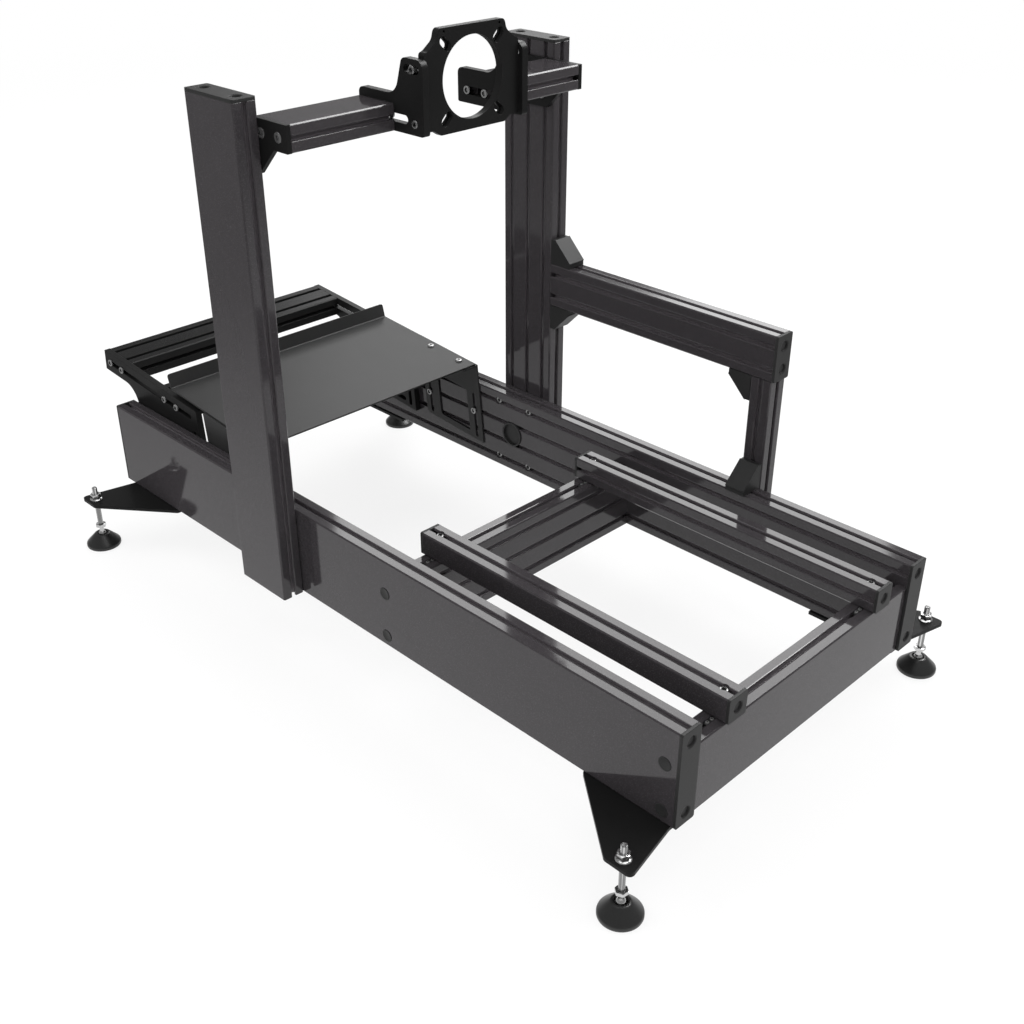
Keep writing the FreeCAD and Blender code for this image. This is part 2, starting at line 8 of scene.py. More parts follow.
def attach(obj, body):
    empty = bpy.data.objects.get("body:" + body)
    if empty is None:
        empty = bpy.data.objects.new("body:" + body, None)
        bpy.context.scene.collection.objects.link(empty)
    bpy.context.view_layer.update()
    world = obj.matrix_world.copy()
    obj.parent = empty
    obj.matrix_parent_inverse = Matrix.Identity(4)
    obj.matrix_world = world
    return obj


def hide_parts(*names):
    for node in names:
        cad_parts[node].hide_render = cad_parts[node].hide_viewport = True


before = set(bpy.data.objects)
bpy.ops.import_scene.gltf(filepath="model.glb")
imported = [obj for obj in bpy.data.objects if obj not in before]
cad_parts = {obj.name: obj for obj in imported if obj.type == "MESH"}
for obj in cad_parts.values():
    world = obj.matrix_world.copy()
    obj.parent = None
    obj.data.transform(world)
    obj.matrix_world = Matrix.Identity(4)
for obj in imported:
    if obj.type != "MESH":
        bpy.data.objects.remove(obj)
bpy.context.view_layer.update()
print("frame loaded:", len(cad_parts), "nodes")

# Sizes are written in millimetres as in the drawing: x from the left beam's outer face,
# y from the beams' rear ends and z from their undersides. at() turns them into the frame.
drawing = {"shiftX": -295.0, "shiftY": -724.1438, "shiftZ": 100.0, "width": 604}
deck = {"tilt": 5.0, "rearY": 1153.5, "rearZ": 208.6}

# Centre lines of the slots, screws and holes that several pieces share
lines = {"crossY": (20, 582), "railX": (119, 485), "beamX": (20, 584), "beamZ": (20, 140),
         "uprightY": (824, 904), "armY": (760, 800), "armZ": 775, "wheelX": 302, "wheelZ": 825}


def at(x, y, z):
    return Vector((x + drawing["shiftX"], y + drawing["shiftY"], z + drawing["shiftZ"])) / 1000


def onDeck(x, along, up):
    tilt = math.radians(deck["tilt"])
    y = deck["rearY"] + along * math.cos(tilt) - up * math.sin(tilt)
    z = deck["rearZ"] + along * math.sin(tilt) + up * math.cos(tilt)
    return at(x, y, z)


def facing(point, outward, turn=0.0):
    # A place whose local Z looks outward, turned about it by some degrees
    spin = Matrix.Rotation(math.radians(turn), 4, "Z")
    aim = Vector(outward).to_track_quat("Z", "Y").to_matrix().to_4x4()
    return Matrix.Translation(point) @ aim @ spin


def mirrored(x, outward):
    # A face that looks sideways and its mirror image, each with the way it looks
    return (x, outward), (drawing["width"] - x, -outward)


def onFaces(x, outward, spots, turn=0, step=0):
    # Places at (y, z) on such a face and on its mirror image, each turned a step further
    return [facing(at(face, y, z), (way, 0, 0), turn + step * i)
            for face, way in mirrored(x, outward) for i, (y, z) in enumerate(spots)]


# Camera at the photo's angle
view = {"place": (-1042.93, -742.63, 1214.49), "elevation": 30.0, "azimuth": -45.0,
        "lens": 45.06, "sensor": 36, "nearest": 0.02}
camera = bpy.data.objects.new("camera", bpy.data.cameras.new("camera"))
bpy.context.collection.objects.link(camera)
camera.location = at(*view["place"])
camera.rotation_euler = (math.radians(90 - view["elevation"]), 0, math.radians(view["azimuth"]))
camera.data.sensor_width = view["sensor"]
camera.data.lens = view["lens"]
camera.data.clip_start = view["nearest"]
bpy.context.scene.camera = camera
bpy.context.scene.view_settings.view_transform = "Standard"


class Field:
    # A socket that can be written into sums: each operator adds its Math node

    def __init__(self, finish, socket):
        self.finish = finish
        self.socket = socket

    def calc(self, operation, first, second):
        node = self.finish.node("ShaderNodeMath", {"operation": operation}, {0: first, 1: second})
        return Field(self.finish, node.outputs[0])

    def __add__(self, other):
        return self.calc("ADD", self, other)

    def __radd__(self, other):
        return self.calc("ADD", other, self)

    def __sub__(self, other):
        return self.calc("SUBTRACT", self, other)

    def __mul__(self, other):
        return self.calc("MULTIPLY", self, other)

    def __pow__(self, other):
        return self.calc("POWER", self, other)


class Finish:
    # A material whose constants sit on the shader and whose patterns come from node()

    def __init__(self, name, constants):
        self.material = bpy.data.materials.new(name)
        self.material.use_nodes = True
        self.tree = self.material.node_tree
        self.shader = self.tree.nodes["Principled BSDF"]
        for socket, value in constants.items():
            self.shader.inputs[socket].default_value = value
        self.place = self.node("ShaderNodeTexCoord", {}, {}).outputs["Object"]

    def node(self, kind, settings, sockets):
        node = self.tree.nodes.new(kind)
        for key, value in settings.items():
            if key == "stops":
                while len(node.color_ramp.elements) < len(value):
                    node.color_ramp.elements.new(1.0)
                for stop, (position, colour) in zip(node.color_ramp.elements, value):
                    stop.position = position
                    stop.color = colour
            else:
                setattr(node, key, value)
        for key, value in sockets.items():
            if isinstance(value, Field):
                value = value.socket
            if isinstance(value, bpy.types.NodeSocket):
                self.tree.links.new(value, node.inputs[key])
            else:
                node.inputs[key].default_value = value
        return node

    def noise(self, size, detail=2.0, roughness=0.5, along=None):
        spot = self.place
        if along:
            mapping = self.node("ShaderNodeMapping", {}, {"Vector": self.place, "Scale": along})
            spot = mapping.outputs[0]
        sockets = {"Vector": spot, "Scale": 1 / size, "Detail": detail, "Roughness": roughness}
        return Field(self, self.node("ShaderNodeTexNoise", {}, sockets).outputs[0])

    def flakes(self, size):
        # One random grey for each small cell
        sockets = {"Vector": self.place, "Scale": 1 / size}
        cells = self.node("ShaderNodeTexVoronoi", {"feature": "F1"}, sockets)
        parts = self.node("ShaderNodeSeparateColor", {}, {"Color": cells.outputs["Color"]})
        return Field(self, parts.outputs[0])

    def shelter(self, depth):
        # 1 in the open, falling to 0 inside the piece's own slots
        settings = {"samples": 8, "only_local": True}
        return self.node("ShaderNodeAmbientOcclusion", settings, {"Distance": depth}).outputs["AO"]

    def ramp(self, value, stops):
        # A grey laid out along a value, from (position, colour) stops
        return self.node("ShaderNodeValToRGB", {"stops": stops}, {"Fac": value}).outputs[0]

    def ranged(self, value, source, target=(0.0, 1.0), kind="SMOOTHSTEP"):
        sockets = {"Value": value, "From Min": source[0], "From Max": source[1],
                   "To Min": target[0], "To Max": target[1]}
        return Field(self, self.node("ShaderNodeMapRange", {"interpolation_type": kind}, sockets).outputs[0])

    def blend(self, mask, low, high):
        return self.node("ShaderNodeMix", {"data_type": "RGBA"}, {0: mask, 6: low, 7: high}).outputs[2]

    def feed(self, socket, value):
        if isinstance(value, Field):
            value = value.socket
        self.tree.links.new(value, self.shader.inputs[socket])

    def rounded(self, radius):
        # Edges catch light as if they were rounded to this radius
        return self.node("ShaderNodeBevel", {"samples": 4}, {"Radius": radius}).outputs[0]

    def bump(self, height, distance, strength, edge):
        sockets = {"Height": height, "Distance": distance, "Strength": strength, "Normal": self.rounded(edge)}
        self.feed("Normal", self.node("ShaderNodeBump", {}, sockets).outputs[0])


def grey(value, tint=(1, 1, 1)):
    return (value * tint[0], value * tint[1], value * tint[2], 1)


# Anodised profile: dark lacquered metal with fine sparkle and faint drawing lines along it.
# The slots get painted light on their mouths and painted shade deep inside, both laid out by the piece's own
# ambient occlusion.
anodised = {"dark": 0.027, "light": 0.034, "tint": (1.07, 0.97, 1.05), "ior": 1.46,
            "sparkle": 0.075, "sparkleTint": (1.05, 0.97, 1.05), "rarity": 12.0, "flake": 0.0007,
            "cloud": 0.06, "cloudShare": 0.6, "line": 0.0016, "lip": 0.16, "lipStops": (0.22, 0.40),
            "paintedSlotShade": 0.012, "slotDepth": 0.010, "openStops": (0.62, 0.92),
            "roughness": 0.05, "unevenness": 0.02, "edge": 0.0022, "crisp": 0.0006}


def anodisedFinish(name, along, edge):
    finish = Finish(name, {"Metallic": 0.0, "IOR": anodised["ior"]})
    tint = anodised["tint"]
    flake = finish.flakes(anodised["flake"])
    cloud = finish.noise(anodised["cloud"], 3.0)
    line = finish.noise(anodised["line"], 2.0, 0.6, along)
    cloudShare = anodised["cloudShare"]
    mottle = cloud * cloudShare + line * (1 - cloudShare)
    base = finish.blend(mottle, grey(anodised["dark"], tint), grey(anodised["light"], tint))
    base = finish.blend(flake ** anodised["rarity"], base, grey(anodised["sparkle"], anodised["sparkleTint"]))
    # Painted light on the slot mouths and painted shade deep in the slots, chosen by ambient occlusion
    clearance = finish.shelter(anodised["slotDepth"])
    paintedSlotShade, lip = grey(anodised["paintedSlotShade"], tint), grey(anodised["lip"], tint)
    deep, shallow = anodised["lipStops"]
    paintedSlotTone = finish.ramp(clearance, [(0.0, paintedSlotShade), (deep, paintedSlotShade), (shallow, lip)])
    inside, outside = anodised["openStops"]
    clear = finish.ramp(clearance, [(0.0, grey(0)), (inside, grey(0)), (outside, grey(1))])
    finish.feed("Base Color", finish.blend(clear, paintedSlotTone, base))
    uneven = anodised["unevenness"]
    finish.feed("Roughness", anodised["roughness"] + cloud * uneven + line * uneven)
    finish.feed("Normal", finish.rounded(edge))
    return finish.material


# Coats of the plates and of the moulded plastic: grain is its size, detail and roughness
powder = {"ior": 1.45, "grain": (0.0009, 3.0, 0.6), "cloud": 0.05, "cloudShare": 0.7, "unevenness": 0.2,
          "relief": 0.00006, "strength": 0.6, "edge": 0.0012}
moulded = {"ior": 1.46, "grain": (0.0006, 2.0, 0.55), "cloud": 0.02, "cloudShare": 0.5, "unevenness": 0.16,
           "relief": 0.00004, "strength": 0.5, "edge": 0.0020}


def coatedFinish(name, coat, dark, light, roughness, sheen):
    finish = Finish(name, {"IOR": coat["ior"], "Specular IOR Level": sheen})
    grain = finish.noise(*coat["grain"])
    cloud = finish.noise(coat["cloud"])
    cloudShare = coat["cloudShare"]
    mottle = cloud * cloudShare + grain * (1 - cloudShare)
    finish.feed("Base Color", finish.blend(mottle, grey(dark), grey(light)))
    finish.feed("Roughness", roughness + (grain - 0.5) * coat["unevenness"])
    finish.bump(grain, coat["relief"], coat["strength"], coat["edge"])
    return finish.material


# Plated and oxidised fasteners, with painted shade in their sockets and hollows; the studs get streaks along
# them that are painted highlights and shade
plated = {"cloud": 0.006, "grain": 0.0007, "cloudSway": 0.1, "grainSway": 0.06,
          "socket": 0.012, "socketShadeStops": (0.5, 0.85), "relief": 0.00002, "edge": 0.0003}
paintedStreaks = {"metallic": 0.9, "streak": 0.0035, "stretch": 0.02, "streakStops": (0.38, 0.62), "sway": 0.1}


def platedFinish(name, dark, light, roughness, metallic, sunk=0.003):
    finish = Finish(name, {"Metallic": metallic})
    cloud = finish.noise(plated["cloud"], 3.0)
    grain = finish.noise(plated["grain"], 2.0)
    base = finish.blend(cloud, grey(dark), grey(light))
    # Painted shade: ambient occlusion darkens sockets and hollows to the socket grey
    if sunk:
        inside, outside = plated["socketShadeStops"]
        clear = finish.ramp(finish.shelter(sunk), [(inside, grey(0)), (outside, grey(1))])
        base = finish.blend(clear, grey(plated["socket"]), base)
    finish.feed("Base Color", base)
    sway = cloud * plated["cloudSway"]
    finish.feed("Roughness", roughness + sway + (grain - 0.5) * plated["grainSway"])
    finish.bump(grain, plated["relief"], 0.4, plated["edge"])
    return finish.material


def paintedStreaksFinish(name, dark, light, roughness):
    finish = Finish(name, {"Metallic": paintedStreaks["metallic"]})
    # Light and dark streaks along the stud are painted highlights and painted shade that stand in for its
    # reflections
    streak = finish.noise(paintedStreaks["streak"], 1.0, 0.5, (1, 1, paintedStreaks["stretch"]))
    share = finish.ranged(streak, paintedStreaks["streakStops"])
    finish.feed("Base Color", finish.blend(share, grey(dark), grey(light)))
    finish.feed("Roughness", roughness + streak * paintedStreaks["sway"])
    finish.bump(streak, plated["relief"], 0.3, plated["edge"])
    return finish.material


# Stretches of the drawing lines along each way that a profile can run
alongX, alongY, alongZ = (0.02, 1, 1), (1, 0.02, 1), (1, 1, 0.02)
profileX = anodisedFinish("anodised_across", alongX, anodised["crisp"])
profileY = anodisedFinish("anodised_along", alongY, anodised["crisp"])
profileZ = anodisedFinish("anodised_upright", alongZ, anodised["edge"])
armX = anodisedFinish("anodised_wheel_arm", alongX, anodised["edge"])
armY = anodisedFinish("anodised_shifter_arm", alongY, anodised["edge"])
deckProfile = coatedFinish("anodised_black_deck", powder, dark=0.011, light=0.016, roughness=0.26, sheen=0.08)
blackPlate = coatedFinish("black_powder_coat", powder, dark=0.007, light=0.011, roughness=0.34, sheen=0.15)
greySheet = coatedFinish("grey_powder_coat", powder, dark=0.022, light=0.030, roughness=0.36, sheen=0.2)
castBlack = coatedFinish("cast_black", powder, dark=0.012, light=0.022, roughness=0.5, sheen=0.3)
greyCap = coatedFinish("moulded_grey", moulded, dark=0.020, light=0.028, roughness=0.42, sheen=0.2)
paintedStreaksZinc = paintedStreaksFinish("paintedStreaks_zinc", dark=0.28, light=0.90, roughness=0.14)
brightZinc = platedFinish("bright_zinc", dark=0.64, light=0.76, roughness=0.12, metallic=0.95, sunk=0)
blackOxide = platedFinish("black_oxide", dark=0.022, light=0.040, roughness=0.30, metallic=0.3)
steelScrew = platedFinish("steel_screw", dark=0.30, light=0.40, roughness=0.26, metallic=0.65)
darkSteel = platedFinish("dark_steel", dark=0.20, light=0.30, roughness=0.18, metallic=0.8)
padBlack = coatedFinish("pad_black", moulded, dark=0.011, light=0.018, roughness=0.32, sheen=0.7)

nodeFinishes = {
    profileX: ["cross_beam_rear", "cross_beam_middle"],
    armX: ["wheel_arm_left", "wheel_arm_right"],
    armY: ["shifter_arm"],
    deckProfile: ["deck_profile_front", "deck_profile_rear"],
    profileY: ["side_beam_left", "side_beam_right", "seat_rail_left", "seat_rail_right"],
    profileZ: ["upright_left", "upright_right", "shifter_post"],
    blackPlate: ["arm_plate_left", "arm_plate_right", "wheel_side_plate_left", "wheel_side_plate_right",
                 "wheel_front_plate", "deck_side_plate_left", "deck_side_plate_right",
                 "foot_plate_rear_left", "foot_plate_rear_right", "foot_plate_front_left",
                 "foot_plate_front_right"],
    greySheet: ["heel_plate", "heel_bracket_left", "heel_bracket_right"],
    castBlack: ["corner_brackets"],
    greyCap: ["corner_bracket_covers", "beam_end_caps", "upright_end_caps", "rail_end_caps",
              "shifter_arm_cap", "cable_hole_caps"],
    brightZinc: ["foot_studs"],
    padBlack: ["foot_pads"],
}
for material, names in nodeFinishes.items():
    for name in names:
        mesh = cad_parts[name].data
        mesh.materials.clear()
        mesh.materials.append(material)
print("finishes set")


# Shared ways of making a piece. Vertices closer than weld, in metres, are merged, and edges
# of more than sharp, in degrees, stay sharp. A point beyond the rim's share of a size counts
# as lying on its rim.
making = {"weld": 1e-6, "sharp": 32, "rim": 0.99}


def addPiece(name, bm, material, stands=()):
    bmesh.ops.remove_doubles(bm, verts=bm.verts, dist=making["weld"])
    bmesh.ops.recalc_face_normals(bm, faces=bm.faces)
    mesh = bpy.data.meshes.new(name)
    bm.to_mesh(mesh)
    bm.free()
    mesh.shade_smooth()
    mesh.set_sharp_from_angle(angle=math.radians(making["sharp"]))
    mesh.materials.append(material)
    piece = bpy.data.objects.new(name, mesh)
    bpy.context.collection.objects.link(piece)
    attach(piece, "root")
    if stands:
        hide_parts(*stands)
    return piece


def stampEach(shape, places):
    stamp = bpy.data.meshes.new("stamp")
    shape.to_mesh(stamp)
    shape.free()
    bm = bmesh.new()
    for place in places:
        before = len(bm.verts)
        bm.from_mesh(stamp)
        bm.verts.ensure_lookup_table()
        bmesh.ops.transform(bm, matrix=place, verts=bm.verts[before:])
    bpy.data.meshes.remove(stamp)
    return bm


def vertsOf(made):
    return [item for item in made["geom"] if isinstance(item, bmesh.types.BMVert)]


def nextRing(bm, edges):
    # Extrudes a ring of edges on the spot, and gives the new ring's edges and vertices
    made = bmesh.ops.extrude_edge_only(bm, edges=edges)
    ring = vertsOf(made)
    return [item for item in made["geom"] if isinstance(item, bmesh.types.BMEdge)
            and item.verts[0] in ring and item.verts[1] in ring], ring


def turn(bm, outline, steps=32):
    # Turns an outline of (radius, height) in millimetres about the local Z
    verts = [bm.verts.new((radius / 1000, 0, height / 1000)) for radius, height in outline]
    edges = [bm.edges.new(pair) for pair in zip(verts, verts[1:])]
    bmesh.ops.spin(bm, geom=verts + edges, cent=(0, 0, 0), axis=(0, 0, 1), dvec=(0, 0, 0),
                   angle=2 * math.pi, steps=steps, use_merge=True)
    bmesh.ops.remove_doubles(bm, verts=bm.verts, dist=making["weld"])


def toHexagon(verts, across):
    # Moves a ring of vertices about the local Z out to the sides of a hexagon
    for vert in verts:
        bearing = math.atan2(vert.co.y, vert.co.x)
        reach = across / 2000 / math.cos((bearing + math.pi / 6) % (math.pi / 3) - math.pi / 6)
        vert.co.x = reach * math.cos(bearing)
        vert.co.y = reach * math.sin(bearing)


def socketHead(screw, sides=24):
    # A screw head on z = 0 with a hexagon socket in its top, from its dictionary of sizes.
    # The socket is first a circle between the hexagon's sides and corners.
    head, height = screw["head"], screw["height"]

    def outermost(edge):
        return min(vert.co.xy.length for vert in edge.verts) > head / 2000 * making["rim"]

    bm = bmesh.new()
    bmesh.ops.create_circle(bm, cap_ends=True, segments=sides, radius=head / 2000)
    bmesh.ops.translate(bm, verts=bm.verts, vec=(0, 0, height / 1000))
    top = bm.faces[:][0]
    inset = (head / 2 - screw["socket"] * 0.56) / 1000
    bmesh.ops.inset_region(bm, faces=[top], thickness=inset, use_boundary=True)
    toHexagon(top.verts, screw["socket"])
    sunk = bmesh.ops.extrude_discrete_faces(bm, faces=[top])["faces"]
    bmesh.ops.translate(bm, verts=sunk[0].verts, vec=(0, 0, -screw["depth"] / 1000))
    outside = [edge for edge in bm.edges if outermost(edge)]
    low = vertsOf(bmesh.ops.extrude_edge_only(bm, edges=outside))
    bmesh.ops.translate(bm, verts=low, vec=(0, 0, -height / 1000))
    bmesh.ops.holes_fill(bm, edges=[edge for edge in bm.edges if edge.is_boundary], sides=0)
    rim = [edge for edge in bm.edges if outermost(edge)
           and min(vert.co.z for vert in edge.verts) > height / 1000 * making["rim"]]
    bmesh.ops.bevel(bm, geom=rim, offset=screw["bevel"] / 1000, segments=3, profile=0.5,
                    affect="EDGES", material=-1)
    return bm


# A nut's sides fall towards its corners by slope, its crown is set in and its bore chamfered
nut = {"slope": 0.6, "crown": 0.4, "chamfer": 0.8}


def hexNut(across, height, bore, base=0.0, sides=48):
    # A hexagon nut with a turned-off crown and a plain bore
    bm = bmesh.new()
    bmesh.ops.create_circle(bm, cap_ends=False, segments=sides, radius=across / 2000)
    toHexagon(bm.verts, across)
    crown, top = nextRing(bm, bm.edges[:])
    for vert in top:
        vert.co.z = height / 1000 - (vert.co.xy.length - across / 2000) * nut["slope"]
    rings = ((across / 2 - nut["crown"], height), (bore / 2 + nut["chamfer"], height),
             (bore / 2, height - nut["chamfer"]), (bore / 2, 0))
    for radius, level in rings:
        crown, ring = nextRing(bm, crown)
        for vert in ring:
            bearing = math.atan2(vert.co.y, vert.co.x)
            vert.co = (radius / 1000 * math.cos(bearing), radius / 1000 * math.sin(bearing), level / 1000)
    toHexagon(nextRing(bm, crown)[1], across)
    bmesh.ops.remove_doubles(bm, verts=bm.verts, dist=making["weld"])
    bmesh.ops.translate(bm, verts=bm.verts, vec=(0, 0, base / 1000))
    return bm


def addScrews(name, screw, places, material):
    addPiece(name, stampEach(socketHead(screw), places), material)


# Screws that hold the seat rails, recessed in their top slots
railScrew = {"head": 13.0, "height": 8.0, "socket": 7.0, "depth": 5.0, "bevel": 0.8, "sunk": 3.2, "top": 160}
seat = railScrew["top"] - railScrew["sunk"] - railScrew["height"]
spots = [(x, y) for x in lines["railX"] for y in lines["crossY"]]
places = [facing(at(x, y, seat), (0, 0, 1), 12 * i) for i, (x, y) in enumerate(spots)]
addScrews("seat_rail_screws", railScrew, places, darkSteel)

# Screws through the side beams into the uprights, in the beams' inner slots
beamScrew = {"head": 13.0, "height": 8.0, "socket": 7.0, "depth": 5.0, "bevel": 0.8, "sunk": 3.6, "face": 40}
seat = beamScrew["face"] - beamScrew["sunk"] - beamScrew["height"]
spots = [(y, z) for y in lines["uprightY"] for z in lines["beamZ"]]
addScrews("upright_screws", beamScrew, onFaces(seat, 1, spots, step=17), steelScrew)

# Plugs over the cross beams' screws on the outer faces
plug = {"across": 21.5, "proud": 0.9, "dish": 0.3, "levels": (20, 100)}
floor, rim = plug["proud"] - plug["dish"], plug["across"] / 2
bm = bmesh.new()
turn(bm, [(0, floor), (rim - 2.4, floor), (rim - 1.6, plug["proud"]), (rim - 0.5, plug["proud"]),
          (rim, plug["proud"] - 0.4), (rim, -0.5)], 40)
places = onFaces(0, -1, [(y, z) for y in lines["crossY"] for z in plug["levels"]])
addPiece("beam_hole_plugs", stampEach(bm, places), greyCap)

# Dished floors in the end caps' holes: the ends of the beams, rails, uprights and shifter arm
dish = {"across": 19.4, "rimDrop": 0.1, "bore": 17.2, "slope": 0.9, "floorDrop": 3.1, "back": 3.45,
        "beamEnds": ((-5, -1), (1376, 1)), "railEnds": ((-5, -1), (607, 1)), "railZ": 140,
        "uprightX": (-20, 624), "uprightTop": 825, "armX": 624, "armEnd": 304, "armZ": (375, 415)}
rim, bore = dish["across"] / 2, dish["bore"] / 2
bm = bmesh.new()
turn(bm, [(0, -dish["floorDrop"]), (bore - 0.9, -dish["floorDrop"]), (bore - 0.1, -dish["floorDrop"] + 0.7),
          (bore, -dish["rimDrop"] - dish["slope"]), (rim, -dish["rimDrop"]), (rim, -dish["back"]),
          (0, -dish["back"])])
places = [facing(at(x, y, z), (0, way, 0))
          for x in lines["beamX"] for y, way in dish["beamEnds"] for z in lines["beamZ"]]
places += [facing(at(x, y, dish["railZ"]), (0, way, 0))
           for x in lines["railX"] for y, way in dish["railEnds"]]
places += [facing(at(x, y, dish["uprightTop"]), (0, 0, 1))
           for x in dish["uprightX"] for y in lines["uprightY"]]
places += [facing(at(dish["armX"], dish["armEnd"], z), (0, -1, 0)) for z in dish["armZ"]]
addPiece("cap_hole_dishes", stampEach(bm, places), greyCap)
print("beam screws, plugs and cap dishes made")

# Wheel mount: screws at the arms' inner ends, and tilt bolts with their nuts at (y, z)
slotScrew = {"head": 13.0, "height": 2.6, "socket": 7.6, "depth": 2.3, "bevel": 0.6,
             "proud": 0.8, "face": 207}
seat = slotScrew["face"] + slotScrew["proud"] - slotScrew["height"]
places = onFaces(seat, 1, [(y, lines["armZ"]) for y in lines["armY"]], step=23)
addScrews("wheel_arm_end_screws", slotScrew, places, steelScrew)
tiltBolt = {"head": 12.6, "height": 8.0, "socket": 6.4, "depth": 5.0, "bevel": 2.0, "proud": 1.6, "face": 195,
            "spots": ((694.8, 771.3), (698.2, 847.4)), "nutFace": 207, "nut": (16.0, 5.0, 6.0)}
seat = tiltBolt["face"] + tiltBolt["height"] - tiltBolt["proud"]
addScrews("wheel_tilt_bolts", tiltBolt, onFaces(seat, -1, tiltBolt["spots"], step=31), darkSteel)
places = onFaces(tiltBolt["nutFace"], 1, tiltBolt["spots"])
addPiece("wheel_tilt_nuts", stampEach(hexNut(*tiltBolt["nut"]), places), blackOxide)

# Ledges inside the wheel plate's slots, which narrow them towards the front
ledge = {"pitch": 106.0, "wide": 13.9, "long": 24.4, "step": 1.8, "from": 692.0, "to": 695.9}


def addLoop(bm, wide, long, sides=32):
    # A round-ended loop of edges, long along the local X
    loop = bmesh.ops.create_circle(bm, segments=sides, radius=wide / 2000)["verts"]
    bmesh.ops.rotate(bm, verts=loop, cent=(0, 0, 0), matrix=Matrix.Rotation(math.pi / sides, 3, "Z"))
    for vert in loop:
        vert.co.x += math.copysign((long - wide) / 2000, vert.co.x)
    return loop


def slotLedge():
    bm = bmesh.new()
    addLoop(bm, ledge["wide"], ledge["long"])
    half = (ledge["long"] - ledge["wide"]) / 2000
    deep = ledge["to"] - ledge["from"]
    edges = bm.edges[:]
    for inset, level in ((ledge["step"], 0), (ledge["step"], deep), (0, deep), (0, 0)):
        edges, ring = nextRing(bm, edges)
        for vert in ring:
            side = math.copysign(half, vert.co.x)
            spoke = Vector((vert.co.x - side, vert.co.y, 0)).normalized() * (ledge["wide"] / 2 - inset) / 1000
            vert.co = (spoke.x + side, spoke.y, level / 1000)
    return bm


places = []
for sideways, upwards in ((1, 1), (-1, 1), (1, -1), (-1, -1)):
    x = lines["wheelX"] + sideways * ledge["pitch"] / 2
    z = lines["wheelZ"] + upwards * ledge["pitch"] / 2
    slant = Matrix.Rotation(-sideways * upwards * math.pi / 4, 4, "Y")
    upright = Matrix.Rotation(math.pi / 2, 4, "X")
    places.append(Matrix.Translation(at(x, ledge["to"], z)) @ slant @ upright)
addPiece("wheel_slot_ledges", stampEach(slotLedge(), places), blackPlate)

# Cheeks of the wheel mount with wide slots for the recessed heads. The outline is (y, z, corner
# radius), a slot its middle's y and z, its length and width, and the pivot hole y, z and width.
cheek = {"outline": ((675, 755, 5), (820, 755, 3), (820, 808.5, 9), (736, 808.5, 24), (719.3, 862.5, 9),
                     (675, 862.5, 13)),
         "armSlot": (758.25, 775, 97.5, 12.8), "tiltSlot": (698.9, 847.4, 33.0, 12.8),
         "pivot": (694.8, 771.3, 12.8), "thick": 12.0, "faces": {"left": 195, "right": 397}}


def cheekPlate():
    bm = bmesh.new()
    corners = [Vector((y, z, 0)) / 1000 for y, z, radius in cheek["outline"]]
    verts = [bm.verts.new(corner) for corner in corners]
    bm.faces.new(verts)
    for i, vert in enumerate(verts):
        back = corners[i - 1] - corners[i]
        onward = corners[(i + 1) % len(corners)] - corners[i]
        reach = cheek["outline"][i][2] / 1000 / math.tan(back.angle(onward) / 2)
        bmesh.ops.bevel(bm, geom=[vert], offset=reach, segments=7, profile=0.5,
                        affect="VERTICES", material=-1)
    bmesh.ops.delete(bm, geom=bm.faces[:], context="FACES_ONLY")
    for y, z, long, wide in (cheek["armSlot"], cheek["tiltSlot"], (*cheek["pivot"], cheek["pivot"][2])):
        bmesh.ops.translate(bm, verts=addLoop(bm, wide, long), vec=(y / 1000, z / 1000, 0))
    bmesh.ops.triangle_fill(bm, edges=bm.edges[:], use_beauty=True, use_dissolve=False)
    top = vertsOf(bmesh.ops.extrude_face_region(bm, geom=bm.faces[:]))
    bmesh.ops.translate(bm, verts=top, vec=(0, 0, cheek["thick"] / 1000))
    return bm


# Stands a flat plate up: its X becomes y, its Y becomes z and its thickness becomes x
standing = Matrix(((0, 0, 1, 0), (1, 0, 0, 0), (0, 1, 0, 0), (0, 0, 0, 1)))
for side, x in cheek["faces"].items():
    place = Matrix.Translation(at(x, 0, 0)) @ standing
    addPiece("wheel_cheek_" + side, stampEach(cheekPlate(), [place]), blackPlate,
             ["wheel_side_plate_" + side])

# Screws of the arm plates: wide flat heads into the arms, low heads into the uprights at (y, z)
armScrew = {"head": 16.0, "height": 0.8, "socket": 6.0, "depth": 2.6, "bevel": 0.5}
places = onFaces(0, -1, [(y, lines["armZ"]) for y in lines["armY"]], 9)
addScrews("arm_plate_countersunk_screws", armScrew, places, darkSteel)
mountScrew = {"head": 13.0, "height": 2.6, "socket": 7.4, "depth": 2.3, "bevel": 0.9,
              "armPlate": ((824, 735), (864, 735), (864, 775)), "armFace": 8,
              "deckAlong": (65, 105, 255, 295), "deckUp": -20, "deckFace": 40,
              "bracket": ((970, 97.6), (1103, 96.8)), "bracketFace": 43}
places = onFaces(mountScrew["armFace"], 1, mountScrew["armPlate"], 14)
addScrews("arm_plate_bolts", mountScrew, places, steelScrew)

# Deck screws: through the side plates into the ends of the deck's profiles
places = [facing(onDeck(face, along, mountScrew["deckUp"]), (way, 0, 0), 19 * i)
          for face, way in mirrored(mountScrew["deckFace"], -1)
          for i, along in enumerate(mountScrew["deckAlong"])]
addScrews("deck_profile_screws", mountScrew, places, steelScrew)

# Heel sheet: low button heads on top, clamp screws on the hanging flanges
button = {"head": 14.0, "height": 3.4, "socket": 5.0, "depth": 2.2, "bevel": 2.4,
          "x": (61.5, 542.5), "along": (-161.3, -78.8), "up": 10.5}
tilt = math.radians(deck["tilt"])
places = [facing(onDeck(x, along, button["up"]), (0, -math.sin(tilt), math.cos(tilt)), 11)
          for x in button["x"] for along in button["along"]]
addScrews("heel_plate_button_screws", button, places, steelScrew)
places = onFaces(mountScrew["bracketFace"], 1, mountScrew["bracket"], 8)
addScrews("heel_bracket_screws", mountScrew, places, steelScrew)
print("plate screws made")

